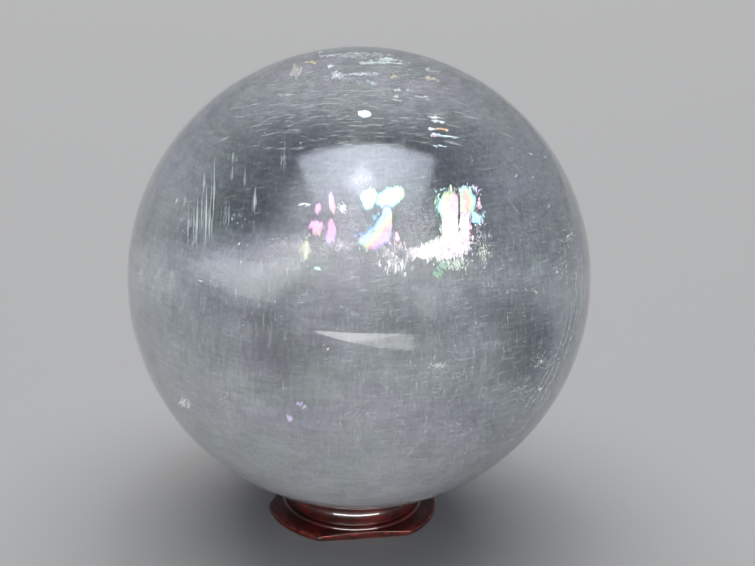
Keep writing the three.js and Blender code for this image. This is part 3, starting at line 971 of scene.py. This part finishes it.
random = np.random.default_rng(23)
films = [film_cells(random, path, random.uniform(*FILM_DEPTH), *rest) for path, *rest in FLASHES]
points, faces, shades = zip(*films)
first_points = np.cumsum([0] + [len(part) for part in points[:-1]])
faces = np.concatenate([part + first for part, first in zip(faces, first_points)])
used, faces = np.unique(faces, return_inverse=True)
points, shades = np.concatenate(points)[used], np.concatenate(shades)[used]
rainbow = piece_of("rainbow_films", crack_material, points, faces.reshape(-1, 4))
write_shades(rainbow, shades)
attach(rainbow, "root")


# Studio. A pale matt floor, and a dim room with brighter walls. A wide soft panel hangs overhead and a little
# in front, and a small lamp almost straight above. Low in front are a pale card and a strip that only the
# lacquer mirrors. A fill from above, and low lights before and behind the stone, are soft lights that
# nothing mirrors.
HALF_FLOOR = 3.0
FLOOR_COLOUR, ROOM_COLOUR = (0.60, 0.60, 0.60, 1), (0.90, 0.93, 1.0, 1)
PANEL_COLOUR, LAMP_COLOUR = (0.81, 0.87, 1.0), (0.80, 0.90, 1.0)
PANEL_HEIGHT = 0.55
PANEL_WIDTH, PANEL_DEPTH = 1.14, 0.83  # times the panel's height over the sphere
PANEL_OFF = np.array([-0.05, -0.485, 1.0])  # times it as well: the panel's middle from the sphere's
PANEL_YAW = np.radians(-7)
PANEL_ENDS = 0.09, 0.13  # share of its face, across and down, over which it fades at each end
BULB_ACROSS, BULB_DOWN, BULB_SQUASH = 0.46, 0.48, 0.57
BULB_EDGE, PANEL_GLOW = (0.19, 0.05), (1.74, 0.94)  # the glow is at the bulb, and away from it
CARD_PLACE, CARD_YAW = (-0.0345, -0.4456, 0.001), np.radians(33.8)  # its box's middle and its turn
CARD_SIZE = 0.400, 0.264
CARD_BOW, CARD_LEAN, CARD_REACH = 3.08, -0.139, -0.129
CARD_END, CARD_END_SLANT = 0.155, 0.343
SOFT_EDGE, CARD_FADE = 0.02, (0.11, 0.0)
PANEL_POWER, FILL_POWER, FRONT_POWER, REAR_POWER = 2.25, 105.0, 13.0, 7.0
CARD_POWER, LAMP_POWER, GLINT_POWER = 1.9, 0.10, 8.5
ROOM_BRIGHTNESS, WALL_BRIGHTNESS = 0.10, 0.40
WALL_FADE = 0.45, -0.05  # upward part of a direction: where the walls begin, and where they are all there

floor_material, tree, shader = nodes_of("floor")
feed_named(tree, shader, {"Base Color": FLOOR_COLOUR, "Roughness": 0.8})
floor_corners = [(x * HALF_FLOOR, y * HALF_FLOOR, 0) for x, y in ((-1, -1), (1, -1), (1, 1), (-1, 1))]
floor = piece_of("floor", floor_material, floor_corners, np.array([[0, 1, 2, 3]]))
floor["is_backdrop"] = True


def soft_light(name, shape, size, power, place, turn):
    """A soft light with a rectangular or round face."""
    data = bpy.data.lights.new(name, "AREA")
    data.shape = shape
    data.size, data.size_y = size
    data.energy = power
    light = bpy.data.objects.new(name, data)
    light.location = place
    light.rotation_euler = turn
    bpy.context.collection.objects.link(light)
    return light


def lit_by(light):
    """A light's new node tree, and the two coordinates over its face, each from 0 to 1."""
    light.data.use_nodes = True
    tree = light.data.node_tree
    spot = chain(tree, "NewGeometry").node.outputs["Parametric"]
    apart = chain(tree, "SeparateXYZ", spot).node
    return tree, apart.outputs["X"], apart.outputs["Y"]


def soft_ends(tree, along, share):
    """1 in the middle of a coordinate that runs from 0 to 1, falling to 0 at both ends over a share of it."""
    inward = sums(tree, "MINIMUM", along, sums(tree, "SUBTRACT", 1.0, along))
    return rising(tree, inward, 0.0, share)


def shaped(tree, strength):
    """Gives a light's face its brightness, place by place."""
    emission = next(node for node in tree.nodes if node.type == "EMISSION")
    tree.links.new(strength, emission.inputs["Strength"])


def facing(direction):
    """The turn of a light that stands in a direction from the sphere and shines back at it."""
    return Matrix(looking(-direction, UP) * np.array([1, 1, -1])).to_euler()


def aimed(name, shape, size, power, away, azimuth, elevation, target=sphere_centre):
    """A soft light some way from a place, towards an azimuth and elevation in degrees, that shines back at
    it."""
    way = turned(*np.radians([azimuth, elevation]))
    return soft_light(name, shape, size, power, target + away * way, facing(way))


panel_place = sphere_centre + PANEL_HEIGHT * PANEL_OFF
panel_size = PANEL_WIDTH * PANEL_HEIGHT, PANEL_DEPTH * PANEL_HEIGHT
panel = soft_light("panel", "RECTANGLE", panel_size, PANEL_POWER, panel_place, (0, 0, PANEL_YAW))
tree, across, down = lit_by(panel)
off_across, off_down = (
    sums(tree, "ABSOLUTE", sums(tree, "SUBTRACT", along, middle))
    for along, middle in ((across, BULB_ACROSS), (down, BULB_DOWN))
)
off_bulb = scaled(tree, off_down, BULB_SQUASH, off_across)
bulb = rising(tree, off_bulb, *BULB_EDGE, *PANEL_GLOW)
ends = (soft_ends(tree, along, share) for along, share in zip((across, down), PANEL_ENDS))
shaped(tree, product(tree, *ends, bulb))
panel.data.color = PANEL_COLOUR
panel.data.spread = np.radians(90)
panel.visible_transmission = False
fill = soft_light("fill", "RECTANGLE", (4.0, 4.0), FILL_POWER, (0.1, 1.3, 3.0), (0, 0, 0))
front = aimed("front", "RECTANGLE", (0.7, 0.2), FRONT_POWER, 0.8, -20, 6)
rear = aimed("rear", "RECTANGLE", (0.9, 0.25), REAR_POWER, 0.8, 165, 15)
for light in (fill, front, rear):
    light.visible_glossy = light.visible_transmission = light.visible_camera = False
card = soft_light("card", "RECTANGLE", CARD_SIZE, CARD_POWER, CARD_PLACE, (np.pi, 0, CARD_YAW))
tree, across, down = lit_by(card)
x = scaled(tree, across, CARD_SIZE[0], -CARD_SIZE[0] / 2)
y = scaled(tree, down, -CARD_SIZE[1], CARD_SIZE[1] / 2)
near_edge = scaled(tree, scaled(tree, x, CARD_BOW, CARD_LEAN), x, CARD_REACH)
right_edge = scaled(tree, y, CARD_END_SLANT, CARD_END)
beyond, before = (
    rising(tree, sums(tree, "SUBTRACT", *pair), 0.0, SOFT_EDGE) for pair in ((y, near_edge), (right_edge, x))
)
shaped(tree, product(tree, beyond, before, rising(tree, x, *CARD_FADE, 1.0, 0.5)))
lamp = aimed("lamp", "DISK", (0.048, 0.048), LAMP_POWER, 0.6, 169.9, 78.6)
lamp.data.color = LAMP_COLOUR
glint = aimed("glint", "RECTANGLE", (0.68, 0.07), GLINT_POWER, 0.5, -4, 6, target=np.zeros(3))
for light in (card, lamp, glint):
    light.visible_transmission = light.visible_camera = light.visible_volume_scatter = False
stone_pieces = [sphere, haze, *fibres, painted_glint_cracks, rainbow]
for name, pieces, lights in (
    ("dark_wood", [stand], [glint]), ("stone", stone_pieces, [front, rear]),
    ("whole_part", [stand, *stone_pieces], [panel]),
):
    lit = bpy.data.collections.new(name)
    for piece in pieces:
        lit.objects.link(piece)
    for light in lights:
        light.light_linking.receiver_collection = lit

world = bpy.data.worlds.new("room")
world.use_nodes = True
tree = world.node_tree
way = chain(tree, "TexCoord").node.outputs["Generated"]
upward = chain(tree, "SeparateXYZ", way).node.outputs["Z"]
brightness = rising(tree, upward, *WALL_FADE, WALL_BRIGHTNESS, ROOM_BRIGHTNESS)
feed_named(tree, tree.nodes["Background"], {"Color": ROOM_COLOUR, "Strength": brightness})
scene.world = world
scene.view_settings.view_transform = "Standard"

sizes = {"cad": cad_box, "visual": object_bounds()}
sizes = {name: [[float(value) for value in corner] for corner in box] for name, box in sizes.items()}
